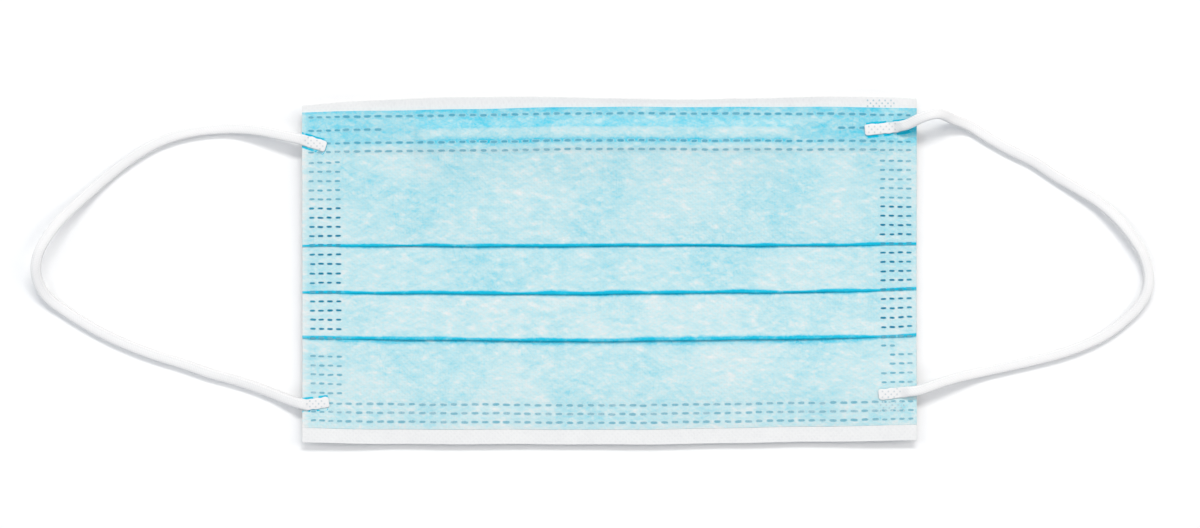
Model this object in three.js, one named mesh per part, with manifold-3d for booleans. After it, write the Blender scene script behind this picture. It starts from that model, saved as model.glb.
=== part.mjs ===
// A pleated surgical face mask lying flat on its back, in millimetres.
// X runs along the mask's width, Y up its face and Z up from the surface that it lies on.
// The blue outer ply and the white inner ply are folded together into three pleats. A flat
// nose wire lies in the outer ply's hem, and two elastic ear loops are welded on the front.
import * as THREE from "three";
import { mergeVertices } from "three/addons/utils/BufferGeometryUtils.js";
import Module from "manifold-3d";

const wasm = await Module();
wasm.setup();

// Driving sizes
const MASK_WIDTH = 175;
const PLY = 1.0; // wall of each ply
const GAP = 0.2; // air between two layers of cloth
const PLEAT_DEPTH = 9.0; // from a pleat's visible edge to its hidden fold
const FOLD_STEPS = 8; // facets round a half turn of cloth
const CORD_WIDTH = 3.4;
const CORD_THICKNESS = 2.0;
const CORD_STEPS = 56;
const TAB_WIDTH = 4.2; // flattened, welded end of an ear loop
const TAB_THICKNESS = 1.0;
const WIRE = { length: 104, width: 3.0, thickness: 0.8, x: -1.5, y: 38.4 };

// Heights, at the mask's ends, of the cloth's edges across the face, and the visible edges of
// its pleats. The bow is how far each of them stands higher in the middle than at the ends.
const EDGES = [
  { name: "inner_top", y: 47.5, bow: 2.0 },
  { name: "hem_top", y: 45.8, bow: 1.0 },
  { name: "pleat_1", y: 7.2, bow: 0.0 },
  { name: "pleat_2", y: -5.8, bow: -0.7 },
  { name: "pleat_3", y: -18.7, bow: -1.2 },
  { name: "outer_bottom", y: -44.4, bow: -1.0 },
  { name: "inner_bottom", y: -48.8, bow: -0.7 },
];
const HEM_BACK_END = 35.0; // where the outer ply, turned under at the top, ends
const HEM_LIP = 34.4; // where the hem starts to come down to the face
const HEM_FOOT = 30.9;
const PANEL_FOOT = 26.0; // where the face starts to climb onto the first pleat
const HEM_EASE = 1.5; // radii of the slow bends
const PANEL_EASE = 12;

// Stations across the width. Those beside the wire's ends let the hem drop behind it.
const WIRE_LEFT = WIRE.x - WIRE.length / 2;
const WIRE_RIGHT = WIRE.x + WIRE.length / 2;
const WIRE_CLEAR = 0.4;
const HEM_DROP = 2.6;
const STATIONS = [
  -MASK_WIDTH / 2,
  WIRE_LEFT - HEM_DROP,
  WIRE_LEFT - WIRE_CLEAR,
  -27,
  0,
  25,
  WIRE_RIGHT + WIRE_CLEAR,
  WIRE_RIGHT + HEM_DROP,
  MASK_WIDTH / 2,
];

// The ear loops' centrelines, from one welded end to the other: x, y, z.
// The first and last rows are the inner ends of the two tabs, and their neighbours the outer ends.
const LEFT_ROUTE = [
  [-80.2, 35.4, 4.1],
  [-86.2, 36.4, 4.6],
  [-90.0, 37.4, 4.6],
  [-94.6, 38.6, 4.1],
  [-100.2, 39.6, 2.9],
  [-106.0, 40.2, 1.7],
  [-111.6, 40.3, 1.2],
  [-117.5, 39.9, 1.2],
  [-123.4, 38.5, 1.2],
  [-129.4, 36.2, 1.2],
  [-134.7, 32.9, 1.2],
  [-140.1, 28.7, 1.2],
  [-145.4, 24.3, 1.2],
  [-150.7, 19.8, 1.2],
  [-155.8, 15.1, 1.5],
  [-159.6, 10.3, 2.1],
  [-162.0, 5.3, 2.5],
  [-163.1, 0.6, 2.5],
  [-162.5, -3.6, 2.1],
  [-160.2, -7.8, 1.5],
  [-156.1, -11.3, 1.2],
  [-150.1, -15.0, 1.2],
  [-144.2, -18.4, 1.2],
  [-137.1, -21.9, 1.2],
  [-129.4, -25.0, 1.2],
  [-121.7, -27.7, 1.2],
  [-114.5, -30.0, 1.2],
  [-107.4, -32.1, 1.2],
  [-100.9, -34.2, 1.8],
  [-94.9, -36.5, 2.8],
  [-90.4, -37.9, 3.4],
  [-86.4, -38.2, 3.4],
  [-79.9, -37.5, 2.9],
];
const RIGHT_ROUTE = [
  [73.6, 40.0, 4.1],
  [81.6, 40.8, 4.6],
  [84.7, 41.5, 5.0],
  [88.1, 43.1, 5.6],
  [91.8, 44.6, 6.0],
  [94.3, 44.6, 5.7],
  [98.0, 42.8, 4.2],
  [102.3, 40.6, 2.4],
  [108.5, 37.2, 1.2],
  [114.7, 33.8, 1.2],
  [120.9, 30.7, 1.2],
  [127.1, 26.9, 1.2],
  [133.3, 23.2, 1.2],
  [139.5, 19.2, 1.2],
  [144.4, 14.9, 1.3],
  [148.8, 9.6, 1.6],
  [152.2, 4.0, 1.8],
  [153.7, -1.6, 1.7],
  [153.3, -5.9, 1.4],
  [150.7, -10.5, 1.2],
  [146.6, -14.9, 1.2],
  [141.4, -18.6, 1.2],
  [135.2, -21.5, 1.2],
  [128.3, -23.7, 1.2],
  [120.9, -25.7, 1.2],
  [113.5, -27.6, 1.2],
  [106.0, -29.1, 1.5],
  [99.2, -30.8, 2.8],
  [93.7, -32.2, 3.8],
  [88.1, -34.1, 3.9],
  [83.6, -34.7, 3.4],
  [77.1, -35.0, 2.9],
];

const OUTER_CLOTH = new THREE.MeshStandardMaterial({ color: 0xbfe4ef, roughness: 0.9, metalness: 0 });
const INNER_CLOTH = new THREE.MeshStandardMaterial({ color: 0xf1f3f5, roughness: 0.9, metalness: 0 });
const WIRE_COATING = new THREE.MeshStandardMaterial({ color: 0xf4f4f0, roughness: 0.5, metalness: 0 });
const ELASTIC = new THREE.MeshStandardMaterial({ color: 0xf6f6f6, roughness: 0.95, metalness: 0 });

// The two plies are laid either side of one fold line. It runs halfway between them, and the
// heights below are that line's.
const PAIR = 2 * PLY + GAP;
const FOLD_RADIUS = (PAIR + GAP) / 2;
const ROLL_RADIUS = 3 * FOLD_RADIUS;
const NOSE_REACH = FOLD_RADIUS + PAIR / 2; // from a fold's axis to the cloth's face round it
const LEVEL_LOW = PAIR / 2;
const HEEL_AXIS = LEVEL_LOW + FOLD_RADIUS;
const NOSE_AXIS = HEEL_AXIS + 2 * FOLD_RADIUS;
const HEM_LEVEL = LEVEL_LOW + PLY + GAP;
const OUTER_SIDE = { front: PAIR / 2, back: GAP / 2 };
const INNER_SIDE = { front: -GAP / 2, back: -PAIR / 2 };
const LEFT_TURN = 1;
const RIGHT_TURN = -1;

const edge = Object.fromEntries(EDGES.map((row) => [row.name, row.y]));

// How far a point at height y stands higher at x than it does at the mask's ends.
function bowAt(x, y) {
  const share = 1 - (2 * x / MASK_WIDTH) ** 2;
  const below = EDGES.findIndex((row) => row.y <= y);
  if (below === 0) return EDGES[0].bow * share;
  if (below < 0) return EDGES.at(-1).bow * share;
  const [high, low] = [EDGES[below - 1], EDGES[below]];
  const t = (y - low.y) / (high.y - low.y);
  return THREE.MathUtils.lerp(low.bow, high.bow, t) * share;
}

// A pin that the fold line turns round. A plain end is a pin of no radius.
const pin = (y, z, radius, turn) => ({ y, z, signed: radius * turn, turn });
const end = (y, z) => pin(y, z, 0, LEFT_TURN);

// The fold line round a row of pins, as points with the direction of the cloth's front face.
function foldLine(pins) {
  const headings = pins.slice(1).map((to, i) => {
    const from = pins[i];
    const [dy, dz] = [to.y - from.y, to.z - from.z];
    return Math.atan2(dz, dy) + Math.asin((from.signed - to.signed) / Math.hypot(dy, dz));
  });
  const points = [];
  pins.forEach((at, i) => {
    const into = headings[Math.max(i - 1, 0)];
    const out = headings[Math.min(i, headings.length - 1)];
    const full = 2 * Math.PI;
    const swing = at.turn * ((((out - into) * at.turn) % full + full) % full);
    const isEnd = i === 0 || i === pins.length - 1;
    const steps = isEnd ? 0 : Math.max(2, Math.round(Math.abs(swing) / Math.PI * FOLD_STEPS));
    for (let k = 0; k <= steps; k++) {
      const heading = into + (steps ? swing * k / steps : 0);
      const front = { y: Math.sin(heading), z: -Math.cos(heading) };
      points.push({ y: at.y + at.signed * front.y, z: at.z + at.signed * front.z, front });
    }
  });
  return points;
}

// The pins of one pleat: over its hidden fold, round its visible edge, back round the hidden fold.
function pleatPins(visibleEdge) {
  const nose = visibleEdge + NOSE_REACH;
  const heel = visibleEdge + PLEAT_DEPTH - NOSE_REACH;
  return [
    pin(heel, HEEL_AXIS, ROLL_RADIUS, LEFT_TURN),
    pin(nose, NOSE_AXIS, FOLD_RADIUS, LEFT_TURN),
    pin(heel, HEEL_AXIS, FOLD_RADIUS, RIGHT_TURN),
    pin(nose, NOSE_AXIS, ROLL_RADIUS, RIGHT_TURN),
  ];
}

const FACE_PINS = [
  pin(PANEL_FOOT, LEVEL_LOW + PANEL_EASE, PANEL_EASE, RIGHT_TURN),
  ...pleatPins(edge.pleat_1),
  ...pleatPins(edge.pleat_2),
  ...pleatPins(edge.pleat_3).slice(0, -1),
];

// The outer ply starts behind the hem, turns over at its top and comes down to the face.
const OUTER_LINE = foldLine([
  end(HEM_BACK_END, HEM_LEVEL),
  pin(edge.hem_top - OUTER_SIDE.front, HEM_LEVEL, 0, LEFT_TURN),
  end(WIRE.y + WIRE.width, HEM_LEVEL),
  end(WIRE.y + WIRE.width / 2 + GAP, HEM_LEVEL),
  end(WIRE.y - WIRE.width / 2 - GAP, HEM_LEVEL),
  pin(HEM_LIP, HEM_LEVEL - HEM_EASE, HEM_EASE, LEFT_TURN),
  pin(HEM_FOOT, LEVEL_LOW + HEM_EASE, HEM_EASE, RIGHT_TURN),
  ...FACE_PINS,
  end(edge.outer_bottom, LEVEL_LOW),
]);
const INNER_LINE = foldLine([
  end(edge.inner_top, LEVEL_LOW),
  ...FACE_PINS,
  end(edge.inner_bottom, LEVEL_LOW),
]);

// How far the hem's front layer is lifted over the nose wire at one station.
function wireLift(x, point) {
  const onFront = point.z > HEM_LEVEL - GAP && point.front.z > 0.9;
  const overWire = Math.abs(point.y - WIRE.y) <= WIRE.width / 2 + GAP + 0.01;
  const besideEnds = x < WIRE_LEFT - WIRE_CLEAR - 0.01 || x > WIRE_RIGHT + WIRE_CLEAR + 0.01;
  return onFront && overWire && !besideEnds ? WIRE.thickness + GAP : 0;
}

// A closed wall between two matching grids of points, one row of points for each station.
function wallGeometry(frontRows, backRows) {
  const [rows, columns] = [frontRows.length, frontRows[0].length];
  const positions = [...frontRows.flat(), ...backRows.flat()].flatMap((p) => [p.x, p.y, p.z]);
  const front = (i, j) => i * columns + j;
  const back = (i, j) => rows * columns + front(i, j);
  const index = [];
  const quad = (a, b, c, d) => index.push(a, b, c, a, c, d);
  for (let i = 0; i + 1 < rows; i++) {
    for (let j = 0; j + 1 < columns; j++) {
      quad(front(i, j), front(i, j + 1), front(i + 1, j + 1), front(i + 1, j));
      quad(back(i, j), back(i + 1, j), back(i + 1, j + 1), back(i, j + 1));
    }
    const last = columns - 1;
    quad(front(i, 0), front(i + 1, 0), back(i + 1, 0), back(i, 0));
    quad(front(i, last), back(i, last), back(i + 1, last), front(i + 1, last));
  }
  for (let j = 0; j + 1 < columns; j++) {
    const last = rows - 1;
    quad(front(0, j), back(0, j), back(0, j + 1), front(0, j + 1));
    quad(front(last, j), front(last, j + 1), back(last, j + 1), back(last, j));
  }
  const geometry = new THREE.BufferGeometry();
  geometry.setAttribute("position", new THREE.Float32BufferAttribute(positions, 3));
  geometry.setIndex(index);
  geometry.computeVertexNormals();
  return geometry;
}

// One ply: its face at a distance from the fold line, at every station across the mask.
function plyGeometry(line, side) {
  const face = (offset) => STATIONS.map((x) => line.map((point) => {
    const y = point.y + offset * point.front.y;
    const z = point.z + offset * point.front.z + wireLift(x, point);
    return new THREE.Vector3(x, y + bowAt(x, y), z);
  }));
  return wallGeometry(face(side.front), face(side.back));
}

// The nose wire: a flat strip with eased edges that follows the hem's bow.
function wireGeometry() {
  const profile = [
    { y: WIRE.width / 2, half: WIRE.thickness / 4 },
    { y: WIRE.width / 2 - WIRE.thickness / 4, half: WIRE.thickness / 2 },
    { y: -WIRE.width / 2 + WIRE.thickness / 4, half: WIRE.thickness / 2 },
    { y: -WIRE.width / 2, half: WIRE.thickness / 4 },
  ];
  const middle = HEM_LEVEL + GAP / 2 + WIRE.thickness / 2;
  const stations = [WIRE_LEFT, -27, 0, 25, WIRE_RIGHT];
  const face = (side) => stations.map((x) => profile.map((row) => {
    const y = WIRE.y + row.y;
    return new THREE.Vector3(x, y + bowAt(x, y), middle + side * row.half);
  }));
  return wallGeometry(face(1), face(-1));
}

function solidFrom(geometry) {
  const bare = new THREE.BufferGeometry();
  const loose = geometry.index ? geometry.toNonIndexed() : geometry;
  bare.setAttribute("position", loose.getAttribute("position"));
  const merged = mergeVertices(bare, 1e-4);
  return new wasm.Manifold(new wasm.Mesh({
    numProp: 3,
    vertProperties: merged.attributes.position.array,
    triVerts: new Uint32Array(merged.index.array),
  }));
}

function geometryFrom(solid) {
  const mesh = solid.getMesh();
  const geometry = new THREE.BufferGeometry();
  geometry.setAttribute("position", new THREE.Float32BufferAttribute(mesh.vertProperties, 3));
  geometry.setIndex(new THREE.BufferAttribute(mesh.triVerts, 1));
  geometry.computeVertexNormals();
  return geometry;
}

// The elastic's section: a flat oval with eight sides, its width along the section's second axis.
function cordSection() {
  const corners = Array.from({ length: 8 }, (_, i) => (i + 0.5) * Math.PI / 4);
  const reach = Math.cos(Math.PI / 8);
  return new THREE.Shape(corners.map((angle) => new THREE.Vector2(
    Math.cos(angle) * CORD_THICKNESS / 2 / reach,
    Math.sin(angle) * CORD_WIDTH / 2 / reach,
  )));
}

// A flattened end of the elastic, from its inner end to where the cord leaves it.
function tabGeometry(inner, outer) {
  const along = new THREE.Vector2(outer.x - inner.x, outer.y - inner.y);
  const reach = along.length() + CORD_THICKNESS / 2;
  const half = TAB_WIDTH / 2;
  const corner = TAB_WIDTH / 5;
  const outline = new THREE.Shape([
    new THREE.Vector2(0, corner - half),
    new THREE.Vector2(corner, -half),
    new THREE.Vector2(reach, -CORD_WIDTH / 2),
    new THREE.Vector2(reach, CORD_WIDTH / 2),
    new THREE.Vector2(corner, half),
    new THREE.Vector2(0, half - corner),
  ]);
  const tab = new THREE.ExtrudeGeometry(outline, { depth: TAB_THICKNESS, bevelEnabled: false });
  tab.rotateZ(along.angle());
  tab.translate(inner.x, inner.y, inner.z - TAB_THICKNESS / 2);
  return tab;
}

// One ear loop: an elastic cord along its route, joined to a flat tab at each end.
function loopGeometry(route) {
  const points = route.map((row) => new THREE.Vector3(...row));
  const cord = new THREE.ExtrudeGeometry(cordSection(), {
    extrudePath: new THREE.CatmullRomCurve3(points.slice(1, -1), false, "centripetal"),
    steps: CORD_STEPS,
    bevelEnabled: false,
  });
  const tabs = [
    tabGeometry(points[0], points[1]),
    tabGeometry(points.at(-1), points.at(-2)),
  ];
  return geometryFrom(tabs.reduce((solid, tab) => solid.add(solidFrom(tab)), solidFrom(cord)));
}

function piece(name, geometry, material) {
  const mesh = new THREE.Mesh(geometry, material);
  mesh.name = name;
  return mesh;
}

const mask = new THREE.Group();
mask.name = "surgical_face_mask";
mask.add(
  piece("outer_ply", plyGeometry(OUTER_LINE, OUTER_SIDE), OUTER_CLOTH),
  piece("inner_ply", plyGeometry(INNER_LINE, INNER_SIDE), INNER_CLOTH),
  piece("nose_wire", wireGeometry(), WIRE_COATING),
  piece("ear_loop_left", loopGeometry(LEFT_ROUTE), ELASTIC),
  piece("ear_loop_right", loopGeometry(RIGHT_ROUTE), ELASTIC),
);

export default mask;
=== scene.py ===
import math
from collections import namedtuple

import bpy
import numpy as np
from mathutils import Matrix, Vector


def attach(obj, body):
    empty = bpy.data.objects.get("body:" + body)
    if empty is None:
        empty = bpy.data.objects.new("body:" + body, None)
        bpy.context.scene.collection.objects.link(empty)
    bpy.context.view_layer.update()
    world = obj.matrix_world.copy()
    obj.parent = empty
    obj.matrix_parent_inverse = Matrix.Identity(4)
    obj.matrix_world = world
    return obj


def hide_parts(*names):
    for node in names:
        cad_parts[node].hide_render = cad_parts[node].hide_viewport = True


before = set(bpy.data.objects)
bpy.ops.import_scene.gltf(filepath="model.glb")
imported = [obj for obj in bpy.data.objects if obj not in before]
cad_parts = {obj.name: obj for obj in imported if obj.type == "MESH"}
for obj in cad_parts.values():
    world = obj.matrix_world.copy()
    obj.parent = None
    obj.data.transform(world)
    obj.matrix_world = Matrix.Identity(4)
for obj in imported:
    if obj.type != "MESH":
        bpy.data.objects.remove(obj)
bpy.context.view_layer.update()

# A pleated face mask lying on its back. Sizes are in millimetres until a mesh is made.
# X runs along the width, Y up the face and Z up from the surface, as in the solids.
MM = 0.001
MASK_WIDTH = 175.0
HALF_WIDTH = MASK_WIDTH / 2

# The photograph's frame, at the height of the mask's face
PHOTO_WIDTH_MM = 341.9
PHOTO_CENTRE = (-2.71, 1.78)
PHOTO_LEVEL = 2.5
LENS_MM = 110.0
SENSOR_MM = 36.0

# Heights of the cloth's edges and pleats at the mask's ends, how far each stands higher in the
# middle (bow), and how far its right end stands higher than its left (lean, half of it).
Edge = namedtuple("Edge", "y bow lean")
EDGES = {
    "inner_top": Edge(47.5, 2.0, 0.65),
    "hem_top": Edge(45.5, 1.0, 0.65),
    "hem_weld": Edge(43.7, 0.95, 0.39),
    "pleat_1": Edge(7.2, 0.0, 0.20),
    "pleat_2": Edge(-5.8, -0.7, 0.42),
    "pleat_3": Edge(-18.7, -1.2, 0.28),
    "bottom_weld": Edge(-42.4, -1.0, 0.28),
    "outer_bottom": Edge(-44.4, -1.0, 0.55),
    "inner_bottom": Edge(-48.75, -0.9, 0.40),
}

# Cloth and folds
PLY = 0.22
PLY_GAP = 0.03
PAIR_HALF = PLY + PLY_GAP / 2
PLY_OFFSET = (PLY + PLY_GAP) / 2
FOLD_RADIUS = 0.2
HEEL_AXIS = 0.8
NOSE_AXIS = 1.9
PLEAT_DEPTH = 10.0
EDGE_DROP = 0.35
FLOOR_CLEAR = 0.02
HEM_BASE = 2.2
PANEL_BASE = 1.9
BOTTOM_BASE = 2.2
HEM_BACK_END = 35.0
HEM_LIP = 34.4
HEM_FOOT = 32.6
HEM_EASE = 1.0
PANEL_FOOT = 29.0
PANEL_EASE = 40.0
BOTTOM_FOOT = -34.0
BOTTOM_EASE = 60.0
INNER_TOP_RISE = 0.5
INNER_TOP_FOOT = 45.6
INNER_TOP_EASE = 2.5
Wire = namedtuple("Wire", "x y half_length half_width lift flank_above flank_below")
WIRE = Wire(-1.5, 38.4, 52.0, 1.5, 1.0, 2.6, 15.0)
WIRE_END = 3.0

# Each pleat: its nose's radius and how far that stands above the rest, how wide its deep blue edge
# shows above the fold and its painted shade below it, and how deep that blue is. The blue above is
# the layers seen edge-on with painted crease shade.
Pleat = namedtuple("Pleat", "name radius rise above below deep")
PLEATS = (
    Pleat("pleat_1", 0.15, 0.0, 0.67, 0.38, 0.6),
    Pleat("pleat_2", 0.19, 0.0, 0.82, 0.44, 0.61),
    Pleat("pleat_3", 0.24, 0.15, 0.92, 0.9, 0.52),
)

# The welded side strips are pressed thin
PRESS_FROM = 60.0
PRESS_TO = 77.0
PRESS = 0.4
PRESS_LEVELS = ((-48.8, 2.9), (-30.0, 1.9), (-15.0, 1.7), (8.0, 1.7), (30.0, 2.0), (47.5, 2.2))

# Where the loops' tabs lift the cloth: x, y, height
CORNER_LIFTS = ((-84.0, 36.0, 0.9), (78.0, 40.4, 0.9), (-83.5, -37.8, 0.3), (80.5, -34.9, 0.6))
LIFT_SPREAD = 9.0

# How far the sides curl up, and between which x; the left one curls less low down
LEFT_CURL = 1.1
LEFT_CURL_X = (-62.0, -88.0)
LEFT_CURL_LOW = 0.35
LEFT_CURL_Y = (-42.0, -12.0)
RIGHT_CURL = 0.2
RIGHT_CURL_X = (66.0, 88.0)

# The weld columns lie a little to the right and lean, the side edges don't
COLUMN_SHIFT = 0.385
COLUMN_LEAN = 0.0075
COLUMN_FADE = (87.4, 85.9)

# Slow unevenness: size, turns along x and y, start
DRIFTS = ((0.09, 0.085, 0.05, 0.0), (0.05, 0.23, 0.11, 1.0))
# Swells of the whole cloth: height, seed, wavelength
SWELLS = ((0.1, 3, 46.0), (0.03, 4, 15.0))
# The inner ply's top edge waves: size, length, start, and where it begins
TOP_WAVE = 0.75
TOP_WAVE_LENGTH = 135.0
TOP_WAVE_START = -85.0
TOP_WAVE_Y = (45.8, 47.5)

# Weld marks
SIDE_COLUMNS = (77.6, 80.1, 82.6, 85.0)
SIDE_ROW_TOP = 30.8
SIDE_ROW_PITCH = 2.61
SIDE_ROWS = 26
LONG_PITCH = 3.0
LONG_COUNT = 51
SIDE_ROW_Y = [SIDE_ROW_TOP - row * SIDE_ROW_PITCH for row in range(SIDE_ROWS)]
SIDE_FROM = 76.0
SIDE_DASH = (1.85, 0.72)
LONG_DASH = (2.3, 0.88)
LAST_COLUMN_FADE = 0.82
DASH_SEED = 12
DASH_STRETCH = (0.92, 1.08)
DASH_SHADE = 0.05
DASH_SHIFT = 0.045
PIT_DEPTH = 0.06
PIT_EASE = 0.32

# The ear loops' centrelines from one tab's inner end to the other's: x, y, z
LEFT_ROUTE = (
    (-80.7, 35.1, 4.1), (-86.8, 37.0, 4.6), (-90.0, 37.7, 4.6), (-94.6, 38.7, 4.1),
    (-100.2, 39.8, 2.9), (-106.0, 40.3, 1.7), (-111.6, 40.2, 1.2), (-117.4, 39.6, 1.2),
    (-123.2, 38.4, 1.2), (-129.4, 36.1, 1.2), (-134.8, 33.0, 1.2), (-140.4, 29.0, 1.2),
    (-145.6, 24.6, 1.4), (-150.7, 19.9, 2.3), (-155.6, 15.0, 3.8), (-159.3, 10.2, 5.3),
    (-162.0, 5.3, 5.8), (-163.1, 0.6, 5.0), (-162.5, -3.6, 3.5), (-160.2, -7.7, 2.1),
    (-156.1, -11.1, 1.3), (-150.2, -14.9, 1.2), (-144.3, -18.2, 1.2), (-137.1, -21.5, 1.2),
    (-129.3, -24.4, 1.2), (-121.5, -26.8, 1.2), (-114.4, -29.3, 1.2), (-107.2, -31.3, 1.2),
    (-100.7, -33.4, 1.2), (-94.7, -35.7, 1.5), (-90.3, -37.3, 2.4), (-86.4, -38.2, 3.2),
    (-79.9, -37.5, 2.9),
)
RIGHT_ROUTE = (
    (72.7, 39.9, 4.1), (81.6, 40.8, 4.6), (84.7, 41.5, 5.5), (88.1, 43.1, 7.2),
    (91.9, 44.3, 7.9), (94.2, 44.3, 6.6), (98.0, 42.8, 3.4), (102.6, 41.1, 1.4),
    (108.5, 37.5, 1.2), (114.6, 34.1, 1.2), (120.9, 31.0, 1.2), (127.0, 27.0, 1.3),
    (133.2, 23.3, 1.6), (139.5, 19.3, 2.1), (144.4, 14.9, 2.5), (148.8, 9.6, 2.6),
    (152.2, 4.0, 2.2), (153.7, -1.6, 1.8), (153.3, -5.9, 1.7), (150.7, -10.5, 1.5),
    (146.5, -14.7, 1.2), (141.3, -18.5, 1.2), (135.2, -21.5, 1.2), (128.4, -23.9, 1.2),
    (120.9, -25.8, 1.2), (113.5, -27.5, 1.2), (106.0, -29.1, 1.5), (99.2, -30.6, 2.8),
    (93.7, -32.2, 3.8), (88.1, -34.1, 3.9), (83.6, -34.7, 3.4), (76.6, -35.5, 2.9),
)
CORD_WIDTH = 2.95
CORD_THICKNESS = 2.1
FLOOR_AXIS = 1.2
TAB_WIDTH = 3.05
TAB_THICKNESS = 0.5
RING_STEP = 0.24
RING_POINTS = 32
WALE_WIDTH = 0.56
STITCH_PITCH = 0.72
STITCH_HEIGHT = 0.055
TAB_BLEND = (-1.2, 2.4)
TAB_END_ROUND = 0.9
TAB_END_NARROW = 0.3
TAB_RAGGED = 0.09
REST_GAP = 0.03
CORD_FLOOR_GAP = 0.05
LOW_CORD = 3.0
SETTLE_LENGTH = 1.6
TWIST = 0.18
TWIST_LENGTH = 60.0
BAND_SQUARE = 0.62


def smooth(value, low, high):
    """0 below low, 1 above high and an eased step between them; low may be the larger."""
    t = np.clip((np.asarray(value, float) - low) / (high - low), 0.0, 1.0)
    return t * t * (3.0 - 2.0 * t)


def ripple(x, y, seed, wavelength, waves=7):
    """A smooth, repeatable unevenness of about -1 to 1 with features of that wavelength."""
    rng = np.random.default_rng(seed)
    total = 0.0
    for _ in range(waves):
        heading = rng.uniform(0.0, math.tau)
        turn = math.tau / (wavelength * rng.uniform(0.7, 1.5))
        phase = rng.uniform(0.0, math.tau)
        total = total + np.sin(turn * (x * math.cos(heading) + y * math.sin(heading)) + phase)
    return total / math.sqrt(waves)


# The camera looks straight down, as the photograph does.
def make_camera():
    data = bpy.data.cameras.new("photo_camera")
    data.lens = LENS_MM
    data.sensor_width = SENSOR_MM
    camera = bpy.data.objects.new("photo_camera", data)
    distance = LENS_MM / SENSOR_MM * PHOTO_WIDTH_MM
    camera.location = Vector((*PHOTO_CENTRE, distance + PHOTO_LEVEL)) * MM
    bpy.context.collection.objects.link(camera)
    bpy.context.scene.camera = camera


make_camera()


# Node trees, for materials and for geometry
class Value:
    """A socket in a node tree, so that node maths reads as plain expressions."""

    def __init__(self, tree, socket=None):
        self.tree = tree
        self.socket = socket

    def node(self, kind, settings=None, sockets=None, out=0):
        """Adds a node, sets its settings and then its sockets, and gives one of its outputs."""
        made = self.tree.nodes.new(kind)
        for name, value in (settings or {}).items():
            if name == "stops":
                self._set_stops(made.color_ramp, value)
            else:
                setattr(made, name, value)
        for name, value in (sockets or {}).items():
            target = made.inputs[name]
            if isinstance(value, Value):
                self.tree.links.new(value.socket, target)
            else:
                target.default_value = value
        return Value(self.tree, made.outputs[out] if made.outputs else None)

    @staticmethod
    def _set_stops(ramp, stops):
        while len(ramp.elements) > 1:
            ramp.elements.remove(ramp.elements[-1])
        ramp.elements[0].position = stops[0][0]
        ramp.elements[0].color = (*stops[0][1], 1.0)
        for position, colour in stops[1:]:
            ramp.elements.new(position).color = (*colour, 1.0)

    def also(self, out):
        """Another output of the node that this value comes from."""
        return Value(self.tree, self.socket.node.outputs[out])

    def maths(self, operation, *values):
        return self.node("ShaderNodeMath", {"operation": operation}, dict(enumerate((self, *values))))

    def __add__(self, other):
        return self.maths("ADD", other)

    __radd__ = __add__

    def __mul__(self, other):
        return self.maths("MULTIPLY", other)

    __rmul__ = __mul__

    def __sub__(self, other):
        return self.maths("SUBTRACT", other)

    def __rsub__(self, other):
        return (self * -1.0) + other

    def __truediv__(self, other):
        return self.maths("DIVIDE", other)

    def __pow__(self, other):
        return self.maths("POWER", other)

    def __abs__(self):
        return self.maths("ABSOLUTE")

    def scaled(self, factor):
        """A colour or vector times a number."""
        settings = {"operation": "SCALE"}
        return self.node("ShaderNodeVectorMath", settings, {0: self, "Scale": factor})

    def plus(self, other):
        """A vector plus another."""
        return self.node("ShaderNodeVectorMath", {"operation": "ADD"}, {0: self, 1: other})

    def step(self, low, high):
        """0 at low, 1 at high and eased between them."""
        sockets = {"Value": self, "From Min": low, "From Max": high}
        return self.node("ShaderNodeMapRange", {"interpolation_type": "SMOOTHSTEP"}, sockets)

    def mixed(self, first, second):
        """The colour between first and second that this value stands for."""
        settings = {"data_type": "RGBA"}
        return self.node("ShaderNodeMix", settings, {0: self, 6: first, 7: second}, out=2)

    def tinted(self, stops):
        """The colour of a ramp's stops that this value stands for."""
        return self.node("ShaderNodeValToRGB", {"stops": stops}, {"Fac": self})


def linear(red, green, blue):
    """The linear colour of an sRGB one given from 0 to 255."""
    def one(value):
        value = value / 255.0
        return value / 12.92 if value <= 0.04045 else ((value + 0.055) / 1.055) ** 2.4
    return (one(red), one(green), one(blue))


def rgba(*colour):
    return (*linear(*colour), 1.0)


def new_material(name):
    """A material with its shader cleared, and a Value to build its nodes from."""
    material = bpy.data.materials.new(name)
    material.use_nodes = True
    tree = material.node_tree
    tree.nodes.clear()
    return material, Value(tree)


def finish_material(root, colour, roughness, height, bump):
    """Joins colour, roughness and a height in millimetres to one shader with a faint gloss."""
    normal = root.node("ShaderNodeBump", None, {
        "Strength": bump, "Distance": MM, "Height": height})
    shader = root.node("ShaderNodeBsdfPrincipled", None, {
        "Base Color": colour, "Roughness": roughness, "Normal": normal,
        "Specular IOR Level": 0.2})
    root.node("ShaderNodeOutputMaterial", None, {"Surface": shader})


def cloth_map(root):
    return root.node("ShaderNodeUVMap", {"uv_map": "cloth"})


def object_place(root):
    return root.node("ShaderNodeTexCoord", out=3)


def point_value(root, name, out=2):
    return root.node("ShaderNodeAttribute", {"attribute_name": name}, out=out)


def noise(root, vector, scale, detail=2.0, roughness=0.5, distortion=0.0):
    return root.node("ShaderNodeTexNoise", {"noise_dimensions": "3D"}, {
        "Vector": vector, "Scale": scale, "Detail": detail,
        "Roughness": roughness, "Distortion": distortion})


def turned(root, vector, angle, along, across):
    """Coordinates turned by an angle and squeezed, so that a pattern runs in streaks."""
    return root.node("ShaderNodeMapping", {"vector_type": "TEXTURE"}, {
        "Vector": vector, "Rotation": (0.0, 0.0, angle), "Scale": (along, across, 1.0)})


FIBRE_ANGLES = (0.15, 1.0, 1.75, 2.6)


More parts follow.
